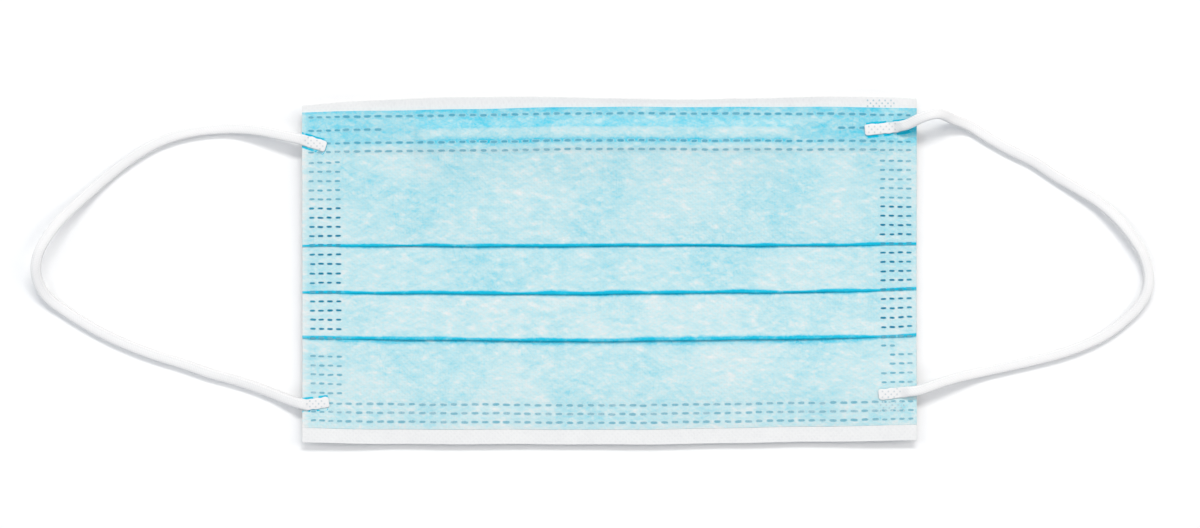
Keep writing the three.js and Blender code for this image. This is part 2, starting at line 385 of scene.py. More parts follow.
def spun_fibres(root, cloth, scale, stretch):
    """Crossing fibres of a spun cloth: thin bright ridges in several directions."""
    total = None
    for turn, angle in enumerate(FIBRE_ANGLES):
        lane = turned(root, cloth, angle, stretch, 1.0).plus((0.31 * turn, 0.17 * turn, 0.0))
        ridge = 1.0 - abs(noise(root, lane, scale, 1.0, 0.5, 0.6) * 2.0 - 1.0)
        thread = ridge ** 7.0
        total = thread if total is None else total.maths("MAXIMUM", thread)
    return total


def drawn_streaks(root, cloth, scale, stretch):
    """Loose strands that lie mostly along the cloth: the mean of three streaky noises."""
    total = 0.0
    for turn, angle in enumerate((0.05, 0.42, -0.36)):
        lane = turned(root, cloth, angle, stretch, 1.0)
        total = noise(root, lane, scale * (1.0 + 0.23 * turn), 2.0, 0.6, 0.5) + total
    return total / 3.0


BOND_PITCH = 0.0011


def bond_points(root, cloth):
    """The small oval spots, in staggered rows, where a spun cloth is bonded."""
    spots = root.node("ShaderNodeTexVoronoi", {"voronoi_dimensions": "2D", "feature": "F1"}, {
        "Vector": turned(root, cloth, math.pi / 4, 1.0, 1.0), "Scale": 1.0 / BOND_PITCH,
        "Randomness": 0.12})
    return spots.step(0.36, 0.2)


# Depth of blue, from a pale worn patch to the edge of a fold
PLAIN_BLUE = 0.33
HEM_BLUE = 0.17
# The deep blue of a fold's edge, partly painted crease shade; weld films on a fold take it as their
# ground
FOLD_BLUE = 0.9
BLUE_STOPS = (
    (0.00, linear(233, 231, 229)),
    (0.18, linear(217, 226, 226)),
    (0.34, linear(192, 221, 225)),
    (0.50, linear(161, 212, 222)),
    (0.68, linear(104, 200, 221)),
    (0.86, linear(26, 187, 217)),
    (1.00, linear(6, 179, 212)),
)


def make_outer_cloth():
    material, root = new_material("outer_cloth")
    cloth = cloth_map(root)
    depth = point_value(root, "blue")
    from_tab = point_value(root, "from_tab")
    clouds = noise(root, cloth, 45.0, 2.0, 0.45, 0.4)
    flecks = noise(root, turned(root, cloth, 0.1, 1.6, 1.0), 480.0, 2.0, 0.55)
    grain = noise(root, cloth, 1500.0, 2.0, 0.65)
    streaks = drawn_streaks(root, cloth, 620.0, 4.0)
    fibres = spun_fibres(root, cloth, 300.0, 4.0)
    bonds = bond_points(root, cloth)
    mottle = (clouds - 0.5) * 0.13 + (streaks - 0.5) * 0.8 - flecks.step(0.5, 0.75) * 0.13
    threads = fibres * (clouds.step(0.35, 0.65) * 0.1 + 0.04)
    amount = mottle + threads + (grain - 0.5) * 0.34 + depth + PLAIN_BLUE
    beside_tab = abs(from_tab - (TAB_WIDTH / 2 + 0.16)).step(0.5, 0.1)
    creases = beside_tab * noise(root, cloth, 480.0, 1.0, 0.5).step(0.36, 0.5) * 0.56
    colour = (amount + creases).tinted(BLUE_STOPS).scaled(0.89 + grain * 0.22)
    height = fibres * 0.02 + streaks * 0.03 + grain * 0.012 - bonds * 0.03
    finish_material(root, colour, 0.9 - fibres * 0.08, height, 0.8)
    return material


def make_inner_cloth():
    material, root = new_material("inner_cloth")
    cloth = cloth_map(root)
    clouds = noise(root, cloth, 130.0, 3.0, 0.55, 0.5)
    grain = noise(root, cloth, 1500.0, 2.0, 0.6)
    fibres = spun_fibres(root, cloth, 600.0, 6.0)
    bonds = bond_points(root, cloth)
    amount = clouds * 0.5 + fibres * 0.3 + grain * 0.3 - bonds * 0.12
    colour = amount.step(0.2, 0.95).mixed(rgba(226, 226, 226), rgba(234, 234, 233))
    height = fibres * 0.01 + grain * 0.006 - bonds * 0.015
    finish_material(root, colour, 0.9 - fibres * 0.06, height, 0.6)
    return material


def make_elastic():
    material, root = new_material("elastic")
    band = cloth_map(root)
    pressed = point_value(root, "pressed")
    stitch = point_value(root, "stitch")
    fuzz = noise(root, band, 1800.0, 2.0, 0.6)
    soil = noise(root, band, 150.0, 2.0, 0.5)
    amount = (stitch * 0.55 + fuzz * 0.3 + soil * 0.2) * (1.0 - pressed * 0.3) + pressed * 0.2
    colour = amount.step(0.0, 0.75).mixed(rgba(226, 225, 225), rgba(240, 239, 238))
    finish_material(root, colour, 0.95 - pressed * 0.25, fuzz * 0.03, 0.7)
    return material


# From one layer pressed to several
WELD_STOPS = (
    (0.0, linear(211, 214, 217)),
    (0.12, linear(178, 202, 210)),
    (0.3, linear(124, 178, 194)),
    (0.6, linear(64, 158, 186)),
    (1.0, linear(0, 118, 152)),
)


def make_weld_film():
    material, root = new_material("weld_film")
    place = object_place(root)
    layers = point_value(root, "layers")
    ground = point_value(root, "ground")
    spot = point_value(root, "spot", out=1)
    across = root.node("ShaderNodeSeparateXYZ", None, {"Vector": spot})
    grain = noise(root, place, 2400.0, 2.0, 0.6)
    ragged = noise(root, place, 1300.0, 2.0, 0.6)
    from_middle = (abs(across) ** 3.0 + abs(across.also("Y")) ** 3.0) ** (1.0 / 3.0)
    weld = (layers + (grain - 0.5) * 0.35).tinted(WELD_STOPS)
    cloth = (ground + (grain - 0.5) * 0.3).tinted(BLUE_STOPS)
    cover = (from_middle + (ragged - 0.5) * 0.4).step(1.05, 0.6)
    finish_material(root, cover.mixed(cloth, weld), 0.75 - cover * 0.2, grain * 0.02, 0.5)
    return material


def make_wire_coating():
    material, root = new_material("wire_coating")
    place = object_place(root)
    drawn = noise(root, turned(root, place, 0.0, 20.0, 1.0), 1500.0, 2.0, 0.5)
    colour = drawn.mixed(rgba(228, 228, 222), rgba(246, 246, 242))
    finish_material(root, colour, 0.45 + drawn * 0.15, drawn * 0.02, 0.5)
    return material


OUTER_CLOTH = make_outer_cloth()
INNER_CLOTH = make_inner_cloth()
ELASTIC = make_elastic()
WELD_FILM = make_weld_film()
WIRE_COATING = make_wire_coating()


# The folded section: one line halfway between the plies, wound round pins
Pin = namedtuple("Pin", "y z signed turn crease")
LEFT_TURN = 1
RIGHT_TURN = -1
ARC_STEPS = 11
LINE_STEP = 0.15


def pin(y, z, radius, turn, crease=0.0):
    return Pin(y, z, radius * turn, turn, crease)


def end(y, z):
    return pin(y, z, 0.0, LEFT_TURN)


def headings_of(pins):
    """The direction of each straight stretch between two pins."""
    found = []
    for start, stop in zip(pins, pins[1:]):
        dy, dz = stop.y - start.y, stop.z - start.z
        swing = math.asin((start.signed - stop.signed) / math.hypot(dy, dz))
        found.append(math.atan2(dz, dy) + swing)
    return found


def fold_line(pins):
    """Closely spaced rows of y, z, front_y, front_z, crease and round along the fold line."""
    headings = headings_of(pins)
    rows = []
    for number, at in enumerate(pins):
        arrive = headings[max(number - 1, 0)]
        leave = headings[min(number, len(headings) - 1)]
        swing = at.turn * (((leave - arrive) * at.turn) % math.tau)
        inner = 0 < number < len(pins) - 1
        steps = max(2, round(abs(swing) / math.pi * ARC_STEPS)) if inner else 0
        if rows:
            rows += straight(rows[-1], arc_row(at, arrive), arrive)
        for step in range(steps + 1):
            rows.append(arc_row(at, arrive + (swing * step / steps if steps else 0.0)))
    return np.array(rows)


def arc_row(at, heading):
    front_y, front_z = math.sin(heading), -math.cos(heading)
    y = at.y + at.signed * front_y
    z = at.z + at.signed * front_z
    return (y, z, front_y, front_z, at.crease, 1.0)


def straight(start, stop, heading):
    length = math.hypot(stop[0] - start[0], stop[1] - start[1])
    count = int(length / LINE_STEP)
    front_y, front_z = math.sin(heading), -math.cos(heading)
    shares = np.arange(1, count) / max(count, 1)
    return [(start[0] + (stop[0] - start[0]) * t, start[1] + (stop[1] - start[1]) * t,
             front_y, front_z, 0.0, 0.0) for t in shares]


Line = namedtuple("Line", "y z front_y front_z crease round seen run")
FROM_ABOVE = 1
FROM_BELOW = -1
EDGE_ON = 0.02
FAR = 1e9


def seen_rows(y, z, front_z, side):
    """Which rows can be seen from that side."""
    covered = np.zeros(len(y), bool)
    for a, b in zip(range(len(y) - 1), range(1, len(y))):
        low, high = min(y[a], y[b]), max(y[a], y[b])
        inside = (y >= low) & (y <= high) & (high > low)
        share = np.where(inside, (y - y[a]) / (y[b] - y[a] if y[b] != y[a] else 1.0), 0.0)
        level = z[a] + (z[b] - z[a]) * share
        covered |= inside & ((level - z) * side > PLY)
    return ~covered & (front_z * side > EDGE_ON)


def thinned(rows, weld_rows, seen, loose, hidden):
    """The rows to keep: all of the bends, ends and welds, and of the rest one for each step."""
    keep = []
    last = None
    for number, row in enumerate(rows):
        step = loose if seen[number] else hidden
        distance = FAR if last is None else math.hypot(row[0] - last[0], row[1] - last[1])
        on_weld = seen[number] and np.any(np.abs(weld_rows - row[0]) < LINE_STEP / 2 + 1e-6)
        beside_end = min(number, len(rows) - 1 - number) < 2
        if row[5] or beside_end or on_weld or distance >= step:
            keep.append(number)
            last = row
    return np.array(keep)


def line_of(pins, weld_rows, side, loose, hidden):
    rows = fold_line(pins)
    seen = seen_rows(rows[:, 0], rows[:, 1], rows[:, 3], side)
    kept = thinned(rows, weld_rows, seen, loose, hidden)
    rows, seen = rows[kept], seen[kept]
    steps = np.hypot(np.diff(rows[:, 0]), np.diff(rows[:, 1]))
    run = np.concatenate(([0.0], np.cumsum(steps)))
    return Line(*rows.T, seen, run)


def pleat_pins(pleat):
    """Round a pleat's visible edge, then round its hidden fold."""
    visible_edge = EDGES[pleat.name].y
    nose = visible_edge - EDGE_DROP + pleat.radius + PAIR_HALF
    heel = visible_edge + PLEAT_DEPTH - FOLD_RADIUS - PAIR_HALF
    return (
        pin(nose, NOSE_AXIS + pleat.rise, pleat.radius, LEFT_TURN, 1.0),
        pin(heel, HEEL_AXIS, FOLD_RADIUS, RIGHT_TURN),
    )


FACE_PINS = (
    pin(PANEL_FOOT, PANEL_BASE + PANEL_EASE, PANEL_EASE, RIGHT_TURN),
    *[turn for pleat in PLEATS for turn in pleat_pins(pleat)],
    pin(BOTTOM_FOOT, BOTTOM_BASE - BOTTOM_EASE, BOTTOM_EASE, LEFT_TURN),
)
HEM_CREASE = 0.55
OUTER_PINS = (
    end(HEM_BACK_END, HEM_BASE),
    pin(EDGES["hem_top"].y - PAIR_HALF, HEM_BASE, 0.0, LEFT_TURN, HEM_CREASE),
    pin(HEM_LIP, HEM_BASE - HEM_EASE, HEM_EASE, LEFT_TURN),
    pin(HEM_FOOT, PANEL_BASE + HEM_EASE, HEM_EASE, RIGHT_TURN),
    *FACE_PINS,
    end(EDGES["outer_bottom"].y, BOTTOM_BASE),
)
INNER_PINS = (
    end(EDGES["inner_top"].y, PANEL_BASE + INNER_TOP_RISE),
    pin(INNER_TOP_FOOT, PANEL_BASE + INNER_TOP_EASE, INNER_TOP_EASE, RIGHT_TURN),
    *FACE_PINS,
    end(EDGES["inner_bottom"].y, BOTTOM_BASE),
)


# How the plain section is laid out: bowed, leaned, pressed at the sides and slightly uneven
EDGE_ROWS = sorted(EDGES.values())
EDGE_Y = [row.y for row in EDGE_ROWS]
EDGE_BOW = [row.bow for row in EDGE_ROWS]
EDGE_LEAN = [row.lean for row in EDGE_ROWS]
LEVEL_Y, LEVEL_Z = zip(*PRESS_LEVELS)


def laid_x(x, y):
    """Where a station across the mask lies: the weld columns lean, the side edges don't."""
    return x + (COLUMN_SHIFT - COLUMN_LEAN * y) * smooth(np.abs(x), *COLUMN_FADE)


def laid_y(x, y):
    """Where a height on the plain section lies on the mask at x."""
    across = x / HALF_WIDTH
    bow = np.interp(y, EDGE_Y, EDGE_BOW) * (1.0 - across * across)
    lean = np.interp(y, EDGE_Y, EDGE_LEAN) * across
    drift = sum(size * np.sin(x * by_x + y * by_y + start) for size, by_x, by_y, start in DRIFTS)
    wave = TOP_WAVE * np.sin((x - TOP_WAVE_START) / TOP_WAVE_LENGTH * math.tau)
    return y + bow + lean + drift + wave * smooth(y, *TOP_WAVE_Y)


def laid(x, y, z):
    """A point of the plain section where it lies on the mask."""
    pressed = smooth(np.abs(x), PRESS_FROM, PRESS_TO)
    level = np.interp(y, LEVEL_Y, LEVEL_Z)
    height = z + (level - z) * pressed * (1.0 - PRESS)
    for lift_x, lift_y, lift in CORNER_LIFTS:
        away = (x - lift_x) ** 2 + (y - lift_y) ** 2
        height = height + lift * np.exp(-away / (2.0 * LIFT_SPREAD ** 2))
    share = LEFT_CURL_LOW + (1.0 - LEFT_CURL_LOW) * smooth(y, *LEFT_CURL_Y)
    height = height + LEFT_CURL * smooth(x, *LEFT_CURL_X) * share
    height = height + RIGHT_CURL * smooth(x, *RIGHT_CURL_X)
    swell = sum(size * ripple(x, y, seed, wavelength) for size, seed, wavelength in SWELLS)
    height = np.maximum(height + swell, FLOOR_CLEAR)
    return np.stack(np.broadcast_arrays(laid_x(x, y), laid_y(x, y), height), axis=-1)


# The welds, in the plain section's coordinates
Dash = namedtuple("Dash", "x y length width layers")


def long_columns():
    """Where the dashes of a long row stand: evenly spaced, then the four side columns."""
    middle = (np.arange(LONG_COUNT) - (LONG_COUNT - 1) / 2) * LONG_PITCH
    sides = np.array(SIDE_COLUMNS)
    return np.concatenate((-sides[::-1], middle, sides))


def is_missing(column, row):
    """The side dashes that the photograph doesn't show."""
    if column < 0:
        return row == 20
    skipped = {20: (2, 3), 21: (0,), 22: (0,)}
    return SIDE_COLUMNS.index(column) in skipped.get(row, ())


# Rows along the mask: y, from and to which x, layers
WHOLE = (-HALF_WIDTH, HALF_WIDTH)
LONG_ROWS = (
    (43.7, WHOLE, 0.5),
    (39.9, (-HALF_WIDTH, -65.0), 0.5),
    (39.9, (65.5, 73.0), 0.5),
    (36.2, WHOLE, 0.5),
    (33.8, WHOLE, 0.32),
    (-37.4, WHOLE, 0.3),
    (-39.9, WHOLE, 0.27),
    (-42.4, WHOLE, 0.3),
)
# How many layers the side dashes show, by y
SIDE_DEPTHS = ((-40.0, 0.3), (-20.0, 0.4), (-17.5, 0.95), (18.5, 1.0), (19.5, 0.45), (31.0, 0.38))


def dash_size(x):
    return SIDE_DASH if abs(x) > SIDE_FROM else LONG_DASH


def weld_dashes():
    rng = np.random.default_rng(DASH_SEED)
    found = []
    for y, (left, right), layers in LONG_ROWS:
        found += [(x, y, *dash_size(x), layers) for x in long_columns() if left <= x <= right]
    depth_y, depth = zip(*SIDE_DEPTHS)
    for row, y in enumerate(SIDE_ROW_Y):
        layers = float(np.interp(y, depth_y, depth))
        for column in (*[-c for c in SIDE_COLUMNS], *SIDE_COLUMNS):
            if not is_missing(column, row):
                fade = LAST_COLUMN_FADE if abs(column) == SIDE_COLUMNS[-1] else 1.0
                found.append((column, y, *SIDE_DASH, layers * fade))
    made = []
    for x, y, length, width, layers in found:
        stretch = rng.uniform(*DASH_STRETCH, 2)
        shade = layers + rng.uniform(-DASH_SHADE, DASH_SHADE)
        shift = rng.normal(0.0, DASH_SHIFT, 2)
        made.append(Dash(x + shift[0], y + shift[1], length * stretch[0], width * stretch[1], shade))
    return made


DASHES = weld_dashes()

# Lines of the mesh beside the middle of each row of dashes, at a dash's ends and beside each fold
PIT_LINES = (-0.62, -0.32, 0.0, 0.32, 0.62)
END_LINES = (-0.1, 0.22)
FOLD_LINES = (-1.65, -1.35, -1.05, -0.9, -0.75, -0.6, -0.45, 0.15, 0.3, 0.45, 0.6, 0.75, 0.9, 1.3)


def weld_row_lines():
    rows = sorted({*[row[0] for row in LONG_ROWS], *SIDE_ROW_Y})
    return np.array([row + step for row in rows for step in PIT_LINES])


def weld_column_lines():
    """Stations across the mask, close together at each dash's ends."""
    found = {-HALF_WIDTH, HALF_WIDTH, -HALF_WIDTH + LINE_STEP, HALF_WIDTH - LINE_STEP}
    for x in long_columns():
        half = dash_size(x)[0] / 2
        found |= {round(x + sign * (half + step), 3) for sign in (-1, 1) for step in END_LINES}
    return np.array(sorted(found))


WELD_ROWS = np.concatenate((
    weld_row_lines(),
    [EDGES[pleat.name].y + step for pleat in PLEATS for step in FOLD_LINES],
))
NO_WELDS = WELD_ROWS[:0]
STATIONS = weld_column_lines()
OUTER_LINE = line_of(OUTER_PINS, WELD_ROWS, FROM_ABOVE, loose=0.95, hidden=2.0)
INNER_LINE = line_of(INNER_PINS, NO_WELDS, FROM_BELOW, loose=0.8, hidden=1.4)


def pit_depths(stations, line):
    """How far the welds press each point of a ply's front face in."""
    depth = np.zeros((len(stations), len(line.y)))
    for dash in DASHES:
        columns = np.where(np.abs(stations - dash.x) < dash.length / 2 + PIT_EASE * 2)[0]
        rows = np.where(line.seen & (np.abs(line.y - dash.y) < dash.width / 2 + PIT_EASE * 2))[0]
        if len(columns) == 0 or len(rows) == 0:
            continue
        past_x = np.maximum(np.abs(stations[columns] - dash.x) - dash.length / 2, 0.0)
        past_y = np.maximum(np.abs(line.y[rows] - dash.y) - dash.width / 2, 0.0)
        away = np.hypot(past_x[:, None], past_y[None, :])
        pit = PIT_DEPTH * smooth(away, PIT_EASE, 0.0)
        patch = np.ix_(columns, rows)
        depth[patch] = np.maximum(depth[patch], pit)
    return depth


def wire_lift(stations, line):
    """How far the front layer is lifted over the nose wire, most gently on the lower side."""
    off = line.y - WIRE.y
    flank = np.where(off > 0.0, WIRE.flank_above, WIRE.flank_below)
    across = smooth((np.abs(off) - WIRE.half_width) / flank, 1.0, 0.0)
    along = smooth(np.abs(stations - WIRE.x), WIRE.half_length + WIRE_END, WIRE.half_length)
    return WIRE.lift * along[:, None] * np.where(line.seen, across, 0.0)[None, :]


def ply_grid(stations, line, offset, press=None, lift=None):
    """The points of one face of a ply, at an offset to the front of the fold line."""
    x = stations[:, None]
    inset = offset - (0.0 if press is None else press)
    y = line.y[None, :] + inset * line.front_y[None, :]
    z = line.z[None, :] + inset * line.front_z[None, :]
    if lift is not None:
        z = z + lift
    return laid(x, y, z)


def every(count, step):
    """Every step-th number below count, with the last."""
    return np.unique(np.append(np.arange(0, count, step), count - 1))


def wall_mesh(name, front, back, columns, rows):
    """A closed wall between a full grid and a coarser one that keeps some columns and rows."""
    tall = front.shape[1]
    vertices = np.concatenate((front.reshape(-1, 3), back.reshape(-1, 3))) * MM
    ahead = np.arange(front.shape[0] * tall).reshape(front.shape[:2])
    behind = np.arange(len(columns) * len(rows)).reshape(len(columns), len(rows)) + ahead.size
    faces = []
    for i in range(front.shape[0] - 1):
        for j in range(tall - 1):
            faces.append((ahead[i, j], ahead[i, j + 1], ahead[i + 1, j + 1], ahead[i + 1, j]))
    for i in range(len(columns) - 1):
        for j in range(len(rows) - 1):
            faces.append((behind[i, j], behind[i + 1, j], behind[i + 1, j + 1], behind[i, j + 1]))
    rim_start = len(faces)
    for i in range(len(columns) - 1):
        span = np.arange(columns[i], columns[i + 1] + 1)
        faces.append((*ahead[span, 0], behind[i + 1, 0], behind[i, 0]))
        faces.append((*ahead[span[::-1], -1], behind[i, -1], behind[i + 1, -1]))
    for j in range(len(rows) - 1):
        span = np.arange(rows[j], rows[j + 1] + 1)
        faces.append((*ahead[0, span[::-1]], behind[0, j], behind[0, j + 1]))
        faces.append((*ahead[-1, span], behind[-1, j + 1], behind[-1, j]))
    mesh = bpy.data.meshes.new(name)
    mesh.from_pydata(vertices.tolist(), [], [tuple(int(v) for v in face) for face in faces])
    smooth_faces = np.arange(len(faces)) < rim_start
    mesh.polygons.foreach_set("use_smooth", smooth_faces)
    return mesh


def add_point_values(mesh, name, values):
    layer = mesh.attributes.new(name, "FLOAT", "POINT")
    layer.data.foreach_set("value", np.asarray(values, np.float32).ravel())


def add_cloth_map(mesh, u, v):
    """A UV map in metres along the cloth, from values at the mesh's points."""
    corners = np.zeros(len(mesh.loops), np.int32)
    mesh.loops.foreach_get("vertex_index", corners)
    layer = mesh.uv_layers.new(name="cloth")
    values = np.stack((u[corners], v[corners]), axis=-1) * MM
    layer.data.foreach_set("uv", values.astype(np.float32).ravel())


def new_object(name, mesh, material):
    made = bpy.data.objects.new(name, mesh)
    if not mesh.materials:
        mesh.materials.append(material)
    bpy.context.collection.objects.link(made)
    return made


# The tabs' middle lines in plan
Tab = namedtuple("Tab", "inner outer")
TABS = tuple(
    Tab(np.array(near[:2]), np.array(far[:2]))
    for near, far in (
        (LEFT_ROUTE[0], LEFT_ROUTE[1]), (LEFT_ROUTE[-1], LEFT_ROUTE[-2]),
        (RIGHT_ROUTE[0], RIGHT_ROUTE[1]), (RIGHT_ROUTE[-1], RIGHT_ROUTE[-2]),
    )
)
CREASED_TABS = TABS[:3]
TAB_PAST = 1.3
BEFORE_TAB = 40.0
BELOW_TAB = 0.3
TAB_REACH = 9.0


def tab_distance(x, y, tabs=TABS):
    """How far each point is, in plan, from the nearest tab's middle line."""
    nearest = np.full(np.broadcast(x, y).shape, FAR)
    for tab in tabs:
        along = tab.outer - tab.inner
        t = ((x - tab.inner[0]) * along[0] + (y - tab.inner[1]) * along[1]) / along.dot(along)
        beyond = np.maximum(-t, 0.0) * BEFORE_TAB
        t = np.clip(t, 0.0, TAB_PAST)
        below = y < tab.inner[1] + t * along[1]
        away = np.hypot(x - tab.inner[0] - t * along[0], y - tab.inner[1] - t * along[1]) + beyond
        nearest = np.minimum(nearest, away - BELOW_TAB * below)
    return nearest


# The folds' blue, the layers seen edge-on with painted crease shade above each edge and painted shade
# below it: narrower and higher up where the side strips are welded, fading to both sides
WELDED_X = (74.0, 79.0)
WELDED_RISE = 0.22
WELDED_NARROW = 0.35
FOLD_CREST = -0.1
BAND_EASE = (1.45, 0.65)
SHADE_UNDER_FOLD_EASE = (2.0, 0.2)
SHADE_UNDER_FOLD = 0.6
HEM_TOP_BLUE = 0.1
HEM_TOP_EASE = (0.45, 0.1)


def fold_blue_and_shade(x, line):
    """The deeper blue along the visible edges of the pleats and of the hem's top fold: the layers
    seen edge-on, with painted shade in the crease and under each pleat's edge.
    """
    front = (line.y + (PLY_OFFSET + PLY / 2) * line.front_y)[None, :]
    shown = (line.seen | (line.crease > 0.0))[None, :]
    total = 0.0
    welded = smooth(np.abs(x), *WELDED_X)
    for seed, pleat in enumerate(PLEATS):
        from_edge = front - EDGES[pleat.name].y + EDGE_DROP - WELDED_RISE * welded
        uneven = (1.0 - WELDED_NARROW * welded) * (1.0 + 0.2 * ripple(x, 0.0 * x, 40 + seed, 14.0))
        # Above each edge: the layers seen edge-on with painted crease shade; below it: painted shade
        # under the pleat's lip, made blue
        band = smooth(from_edge / (pleat.above * uneven), *BAND_EASE) * (from_edge > FOLD_CREST)
        shade_under_fold = smooth(-from_edge / (pleat.below * uneven), *SHADE_UNDER_FOLD_EASE) * (from_edge <= FOLD_CREST)
        depth = pleat.deep + 0.07 * ripple(x, 0.0 * x, 50 + seed, 9.0)
        total = total + (band + SHADE_UNDER_FOLD * shade_under_fold) * depth
    from_top = EDGES["hem_top"].y - front
    hem_top = HEM_TOP_BLUE * smooth(from_top, *HEM_TOP_EASE) * (line.crease > 0.0)
    return (total + hem_top) * shown


# Where else the blue is deeper or paler: in the hem, on and below the wire, below the right loop's
# upper tab, on the side strips and at the left edge
HEM_BLUE_Y = (34.6, 36.4)
WIRE_PALE = 0.17
WIRE_PALE_MIDDLE = 0.2
WIRE_PALE_EASE = (1.65, 1.05)
WIRE_PALE_END = 0.6
WIRE_SHADE = 0.15
WIRE_SHADE_MIDDLE = -2.1
WIRE_SHADE_EASE = (0.9, 0.2)
CORD_SHADE = 0.25
CORD_LINE_X = 82.0
CORD_LINE_Y = 38.9
CORD_LINE_SLOPE = 0.34
CORD_SHADE_EASE = (1.9, 0.3)
CORD_SHADE_TOP = -1.5
CORD_SHADE_X = (81.8, 84.6)
SIDE_PALE = 0.02
SIDE_PALE_X = (75.0, 78.0)
LEFT_PALE = 0.16
LEFT_PALE_X = (85.4, 87.5)
# How much paler the lower face is: y, by how much. At the blue's lower edge the extra paleness is
# painted light against the shade along that edge.
PALE_LEVELS = (
    (-45.0, 0.12), (-42.0, 0.03), (-20.0, 0.03), (-18.5, 0.05), (-6.5, 0.05), (-5.5, 0.0),
)


def depth_of_blue(line, points):
    """How much bluer than one plain layer each point of the outer ply's front is, painted shade
    included.
    """
    x, y = points[..., 0], points[..., 1]
    flat_y = line.y[None, :]
    fold = fold_blue_and_shade(x, line)
    hem = smooth(flat_y, *HEM_BLUE_Y) * (line.seen | (line.crease > 0.0))[None, :] * HEM_BLUE
    from_wire = flat_y - WIRE.y
    past_end = np.abs(x - WIRE.x) - WIRE.half_length
    over_wire = smooth(np.abs(from_wire - WIRE_PALE_MIDDLE), *WIRE_PALE_EASE)
    over_wire = over_wire * smooth(past_end, WIRE_PALE_END, -WIRE_PALE_END) * WIRE_PALE
    below_wire = smooth(np.abs(from_wire - WIRE_SHADE_MIDDLE), *WIRE_SHADE_EASE)
    below_wire = below_wire * smooth(past_end, WIRE_END, 0.0) * WIRE_SHADE
    under_cord = CORD_LINE_Y + (x - CORD_LINE_X) * CORD_LINE_SLOPE - y
    shaded = smooth(under_cord, *CORD_SHADE_EASE) * (under_cord > CORD_SHADE_TOP)
    shaded = shaded * smooth(x, *CORD_SHADE_X) * CORD_SHADE
    pressed = smooth(np.abs(x), *SIDE_PALE_X) * SIDE_PALE + smooth(-x, *LEFT_PALE_X) * LEFT_PALE
    paler = np.interp(flat_y, *zip(*PALE_LEVELS))
    return fold + hem - over_wire + below_wire + shaded - pressed - paler


# The outer ply's lower edge is worn thin, and its back is a coarser grid than its front
WORN_EDGE = 0.19
WORN_WIDTH = 1.4
BACK_COLUMNS = 4
BACK_ROWS = 3


def make_outer_ply():
    line = OUTER_LINE
    offset = PLY_OFFSET + PLY / 2
    lift = wire_lift(STATIONS, line)
    worn_edge = WORN_EDGE * smooth(line.run[-1] - line.run, WORN_WIDTH, 0.0)
    press = np.maximum(pit_depths(STATIONS, line), worn_edge[None, :])
    front = ply_grid(STATIONS, line, offset, press, lift)
    columns = every(len(STATIONS), BACK_COLUMNS)
    in_hem = line.y > HEM_FOOT
    rows = np.where((line.round > 0) | in_hem | (np.arange(len(line.y)) % BACK_ROWS == 0))[0]
    rows = np.unique(np.append(rows, [0, len(line.y) - 1]))
    some = Line(*[field[rows] for field in line])
    back = ply_grid(STATIONS[columns], some, PLY_OFFSET - PLY / 2, None, lift[np.ix_(columns, rows)])
    mesh = wall_mesh("outer_ply_cloth", front, back, columns, rows)
    grid_x, grid_run = np.meshgrid(STATIONS, line.run, indexing="ij")
    u = np.concatenate((grid_x.ravel(), grid_x[np.ix_(columns, rows)].ravel()))
    v = np.concatenate((grid_run.ravel(), grid_run[np.ix_(columns, rows)].ravel()))
    add_cloth_map(mesh, u, v)
    blue = depth_of_blue(line, front)
    from_tab = np.minimum(tab_distance(front[..., 0], front[..., 1], CREASED_TABS), TAB_REACH)
    for label, values in (("blue", blue), ("from_tab", from_tab)):
        behind = values[np.ix_(columns, rows)]
        add_point_values(mesh, label, np.concatenate((values.ravel(), behind.ravel())))
    return new_object("outer_ply_cloth", mesh, OUTER_CLOTH)


INNER_COLUMNS = 181


def make_inner_ply():
    line = INNER_LINE
    inside = HALF_WIDTH - LINE_STEP
    stations = np.array((-HALF_WIDTH, *np.linspace(-inside, inside, INNER_COLUMNS), HALF_WIDTH))
    back = ply_grid(stations, line, -PLY_OFFSET - PLY / 2)
    front = ply_grid(stations, line, -PLY_OFFSET + PLY / 2)
    columns = np.arange(len(stations))
    rows = np.arange(len(line.y))
    mesh = wall_mesh("inner_ply_cloth", front, back, columns, rows)
    grid_x, grid_run = np.meshgrid(stations, line.run, indexing="ij")
    add_cloth_map(mesh, np.tile(grid_x.ravel(), 2), np.tile(grid_run.ravel(), 2))
    return new_object("inner_ply_cloth", mesh, INNER_CLOTH)


# Ear loops
SPLINE_STEPS = 40


def between(first, second, start, stop, t):
    """The point that t stands for when first is at start and second at stop."""
    return first * (stop - t) / (stop - start) + second * (t - start) / (stop - start)


def spline(points, step):
    """Evenly spaced points on a smooth curve through a route."""
    knots = np.array(points)
    chords = np.sqrt(np.linalg.norm(np.diff(knots, axis=0), axis=1))
    ends = np.vstack((2 * knots[0] - knots[1], knots, 2 * knots[-1] - knots[-2]))
    times = np.concatenate(([-chords[0]], [0.0], np.cumsum(chords), [chords.sum() + chords[-1]]))
    fine = []
    for i in range(1, len(knots)):
        t = np.linspace(times[i], times[i + 1], SPLINE_STEPS, endpoint=False)[:, None]
        p, k = ends[i - 1:i + 3], times[i - 1:i + 3]
        a = [between(p[n], p[n + 1], k[n], k[n + 1], t) for n in range(3)]
        b = [between(a[n], a[n + 1], k[n], k[n + 2], t) for n in range(2)]
        fine.append(between(b[0], b[1], k[1], k[2], t))
    fine = np.vstack((*fine, knots[-1:]))
    travelled = np.concatenate(([0.0], np.cumsum(np.linalg.norm(np.diff(fine, axis=0), axis=1))))
    stations = np.linspace(0.0, travelled[-1], int(travelled[-1] / step) + 1)
    path = np.stack([np.interp(stations, travelled, fine[:, axis]) for axis in range(3)], axis=1)
    return path, stations


